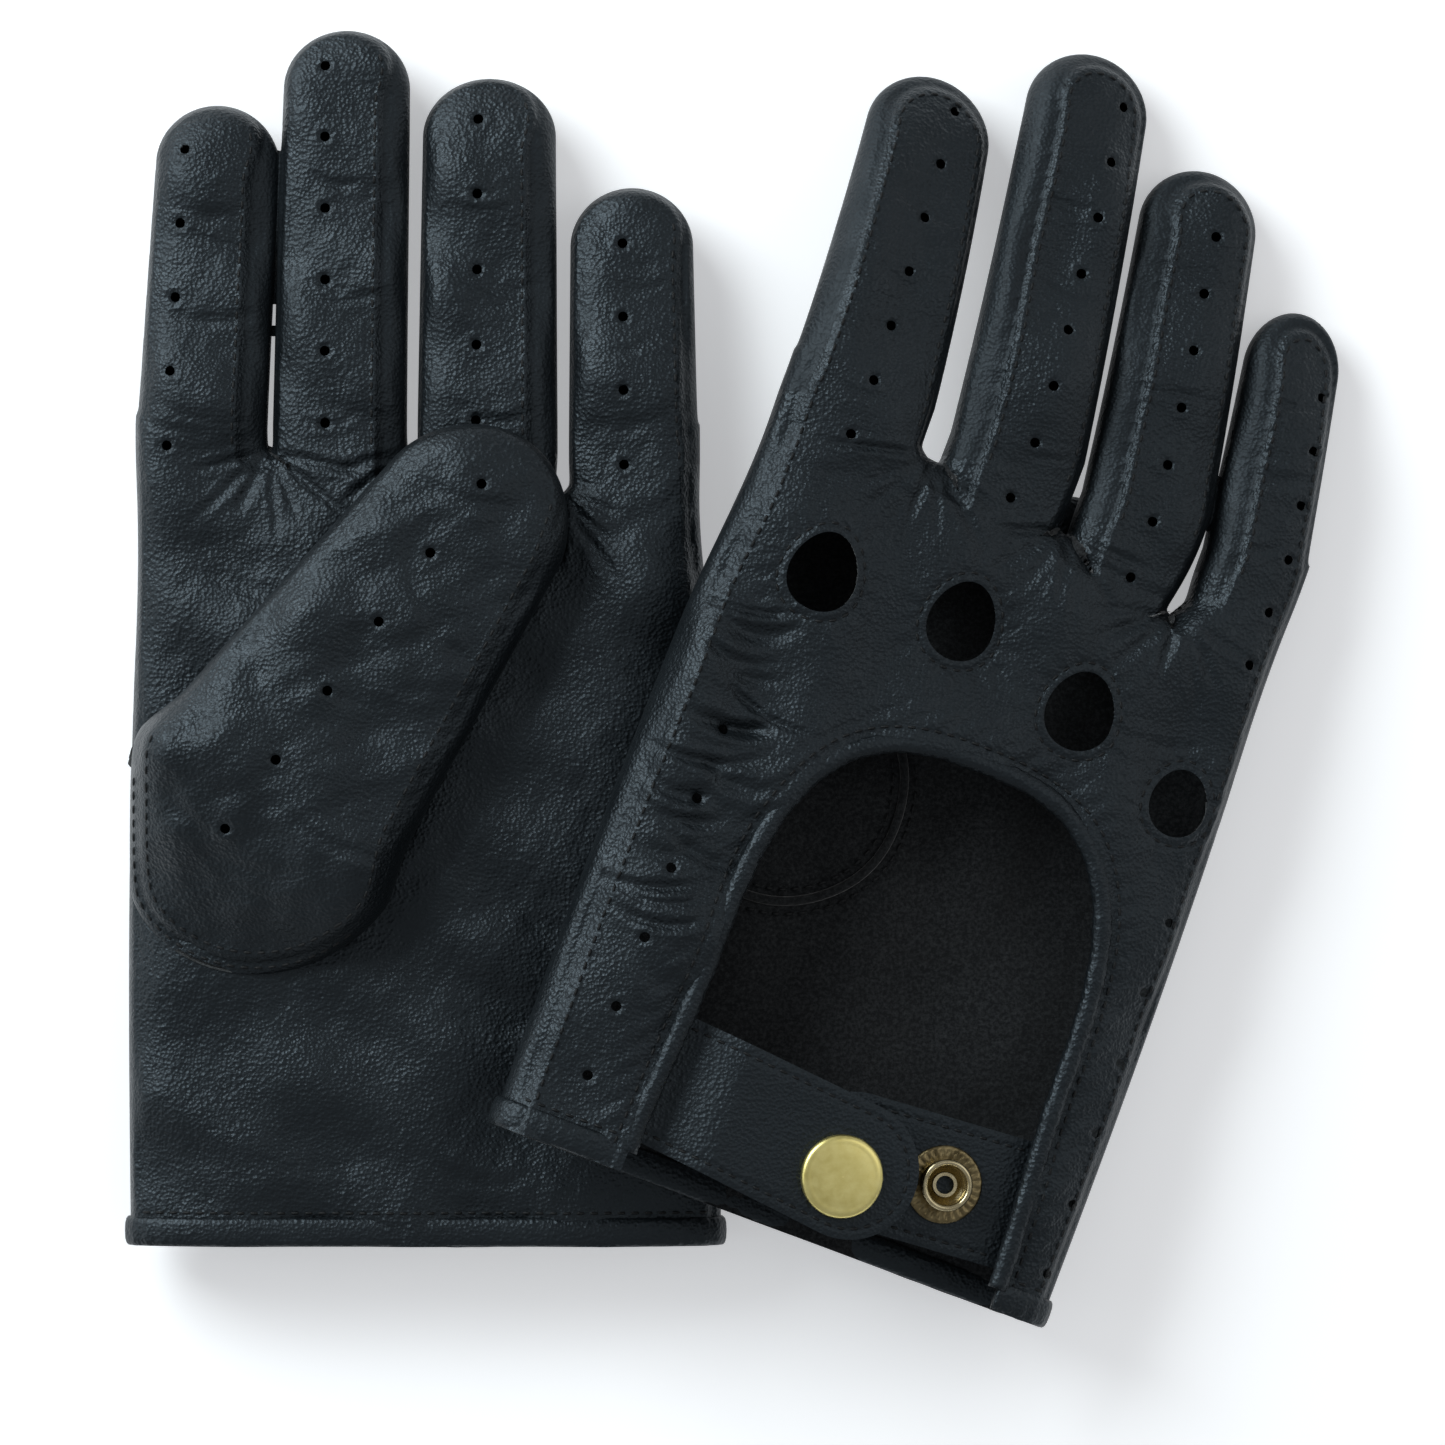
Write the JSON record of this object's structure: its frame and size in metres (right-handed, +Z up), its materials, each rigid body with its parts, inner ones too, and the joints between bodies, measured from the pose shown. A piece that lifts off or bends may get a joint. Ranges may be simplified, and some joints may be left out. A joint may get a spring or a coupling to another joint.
{
  "type": "leather driving gloves",
  "caption": "Pair of unlined black leather driving gloves with knuckle holes, an open back window and a snap strap at the wrist.",
  "frame": {"origin": "middle of the pair's footprint, on the surface it lies on", "axes": "+Y along the fingers of the left glove, +X towards the right glove, +Z up from the surface"},
  "size_m": [0.227, 0.2422, 0.0429],
  "materials": {
    "leather_black": "fine-grained lambskin, soft sheen, matte suede inside",
    "leather_gusset": "fine-grained lambskin, soft sheen, matte suede inside",
    "leather_binding": "smooth rolled lambskin strip",
    "leather_strap": "two layers of lambskin with raw edges",
    "thread": "black polyester sewing thread",
    "brass_satin": "satin yellow brass",
    "brass_antique": "antique brass, dark in the recesses and bright on the rims",
    "spring_steel": "plain spring wire"
  },
  "bodies": {
    "left_hand": {"left_palm_panel": "leather_black", "left_back_panel": "leather_black", "left_fork_gussets": "leather_gusset", "left_thumb_base": "leather_black", "left_hem_binding": "leather_binding", "left_window_binding": "leather_binding", "left_cap_strap_root": "leather_strap", "left_stud_strap": "leather_strap", "left_snap_stud": "brass_antique", "left_stud_eyelet": "brass_antique"},
    "left_index_finger": {"left_index_back": "leather_black", "left_index_palm": "leather_black", "left_index_gusset": "leather_gusset"},
    "left_middle_finger": {"left_middle_back": "leather_black", "left_middle_palm": "leather_black", "left_middle_gussets": "leather_gusset"},
    "left_ring_finger": {"left_ring_back": "leather_black", "left_ring_palm": "leather_black", "left_ring_gussets": "leather_gusset"},
    "left_little_finger": {"left_little_back": "leather_black", "left_little_palm": "leather_black", "left_little_gusset": "leather_gusset"},
    "left_thumb": {"left_thumb_front": "leather_black", "left_thumb_back": "leather_black"},
    "left_snap_strap": {"left_cap_strap": "leather_strap", "left_snap_cap": "brass_satin", "left_snap_socket": "brass_antique", "left_socket_spring": "spring_steel"},
    "right_hand": {"right_palm_panel": "leather_black", "right_back_panel": "leather_black", "right_fork_gussets": "leather_gusset", "right_thumb_base": "leather_black", "right_hem_binding": "leather_binding", "right_window_binding": "leather_binding", "right_cap_strap_root": "leather_strap", "right_stud_strap": "leather_strap", "right_snap_stud": "brass_antique", "right_stud_eyelet": "brass_antique"},
    "right_index_finger": {"right_index_back": "leather_black", "right_index_palm": "leather_black", "right_index_gusset": "leather_gusset"},
    "right_middle_finger": {"right_middle_back": "leather_black", "right_middle_palm": "leather_black", "right_middle_gussets": "leather_gusset"},
    "right_ring_finger": {"right_ring_back": "leather_black", "right_ring_palm": "leather_black", "right_ring_gussets": "leather_gusset"},
    "right_little_finger": {"right_little_back": "leather_black", "right_little_palm": "leather_black", "right_little_gusset": "leather_gusset"},
    "right_thumb": {"right_thumb_front": "leather_black", "right_thumb_back": "leather_black"},
    "right_snap_strap": {"right_cap_strap": "leather_strap", "right_snap_cap": "brass_satin", "right_snap_socket": "brass_antique", "right_socket_spring": "spring_steel"}
  },
  "joints": [
    {"name": "left_index_bend", "type": "hinge", "parent": "left_hand", "child": "left_index_finger", "pos_m": [-0.09946, 0.0467, 0.0182], "axis": [0.9986, -0.0523, 0], "range_deg": [0, 75]},
    {"name": "left_middle_bend", "type": "hinge", "parent": "left_hand", "child": "left_middle_finger", "pos_m": [-0.07366, 0.0467, 0.0182], "axis": [0.9998, -0.0175, 0], "range_deg": [0, 75]},
    {"name": "left_ring_bend", "type": "hinge", "parent": "left_hand", "child": "left_ring_finger", "pos_m": [-0.04606, 0.0467, 0.0182], "axis": [1, -0.0052, 0], "range_deg": [0, 75]},
    {"name": "left_little_bend", "type": "hinge", "parent": "left_hand", "child": "left_little_finger", "pos_m": [-0.01876, 0.0447, 0.0182], "axis": [1, 0.0087, 0], "range_deg": [0, 75]},
    {"name": "left_thumb_lift", "type": "hinge", "parent": "left_hand", "child": "left_thumb", "pos_m": [-0.08566, -0.0268, 0.0355], "axis": [0.8161, -0.5779, 0], "range_deg": [0, 90]},
    {"name": "left_snap_strap_fold", "type": "hinge", "parent": "left_hand", "child": "left_snap_strap", "pos_m": [-0.08466, -0.0863, 0.0056], "axis": [0, 1, 0], "range_deg": [0, 105]},
    {"name": "right_index_bend", "type": "hinge", "parent": "right_hand", "child": "right_index_finger", "pos_m": [0.02286, 0.05375, 0.01974], "axis": [-0.9413, 0.2756, 0.195], "range_deg": [0, 75]},
    {"name": "right_middle_bend", "type": "hinge", "parent": "right_hand", "child": "right_middle_finger", "pos_m": [0.05182, 0.04263, 0.01371], "axis": [-0.9527, 0.2317, 0.1968], "range_deg": [0, 75]},
    {"name": "right_ring_bend", "type": "hinge", "parent": "right_hand", "child": "right_ring_finger", "pos_m": [0.07603, 0.03227, 0.00866], "axis": [-0.9573, 0.2113, 0.1975], "range_deg": [0, 75]},
    {"name": "right_little_bend", "type": "hinge", "parent": "right_hand", "child": "right_little_finger", "pos_m": [0.0966, 0.02223, 0.00435], "axis": [-0.958, 0.2079, 0.1976], "range_deg": [0, 75]},
    {"name": "right_thumb_lift", "type": "hinge", "parent": "right_hand", "child": "right_thumb", "pos_m": [0.00777, -0.0193, 0.00963], "axis": [-0.5475, 0.828, 0.1211], "range_deg": [0, 90]},
    {"name": "right_snap_strap_fold", "type": "hinge", "parent": "right_hand", "child": "right_snap_strap", "pos_m": [-0.01051, -0.07375, 0.03794], "axis": [-0.3468, -0.936, 0.0599], "range_deg": [0, 105]},
    {"name": "right_glove_lift", "type": "slide", "parent": "left_hand", "child": "right_hand", "axis": [0, 0, 1], "range_m": [0, 0.12]}
  ]
}
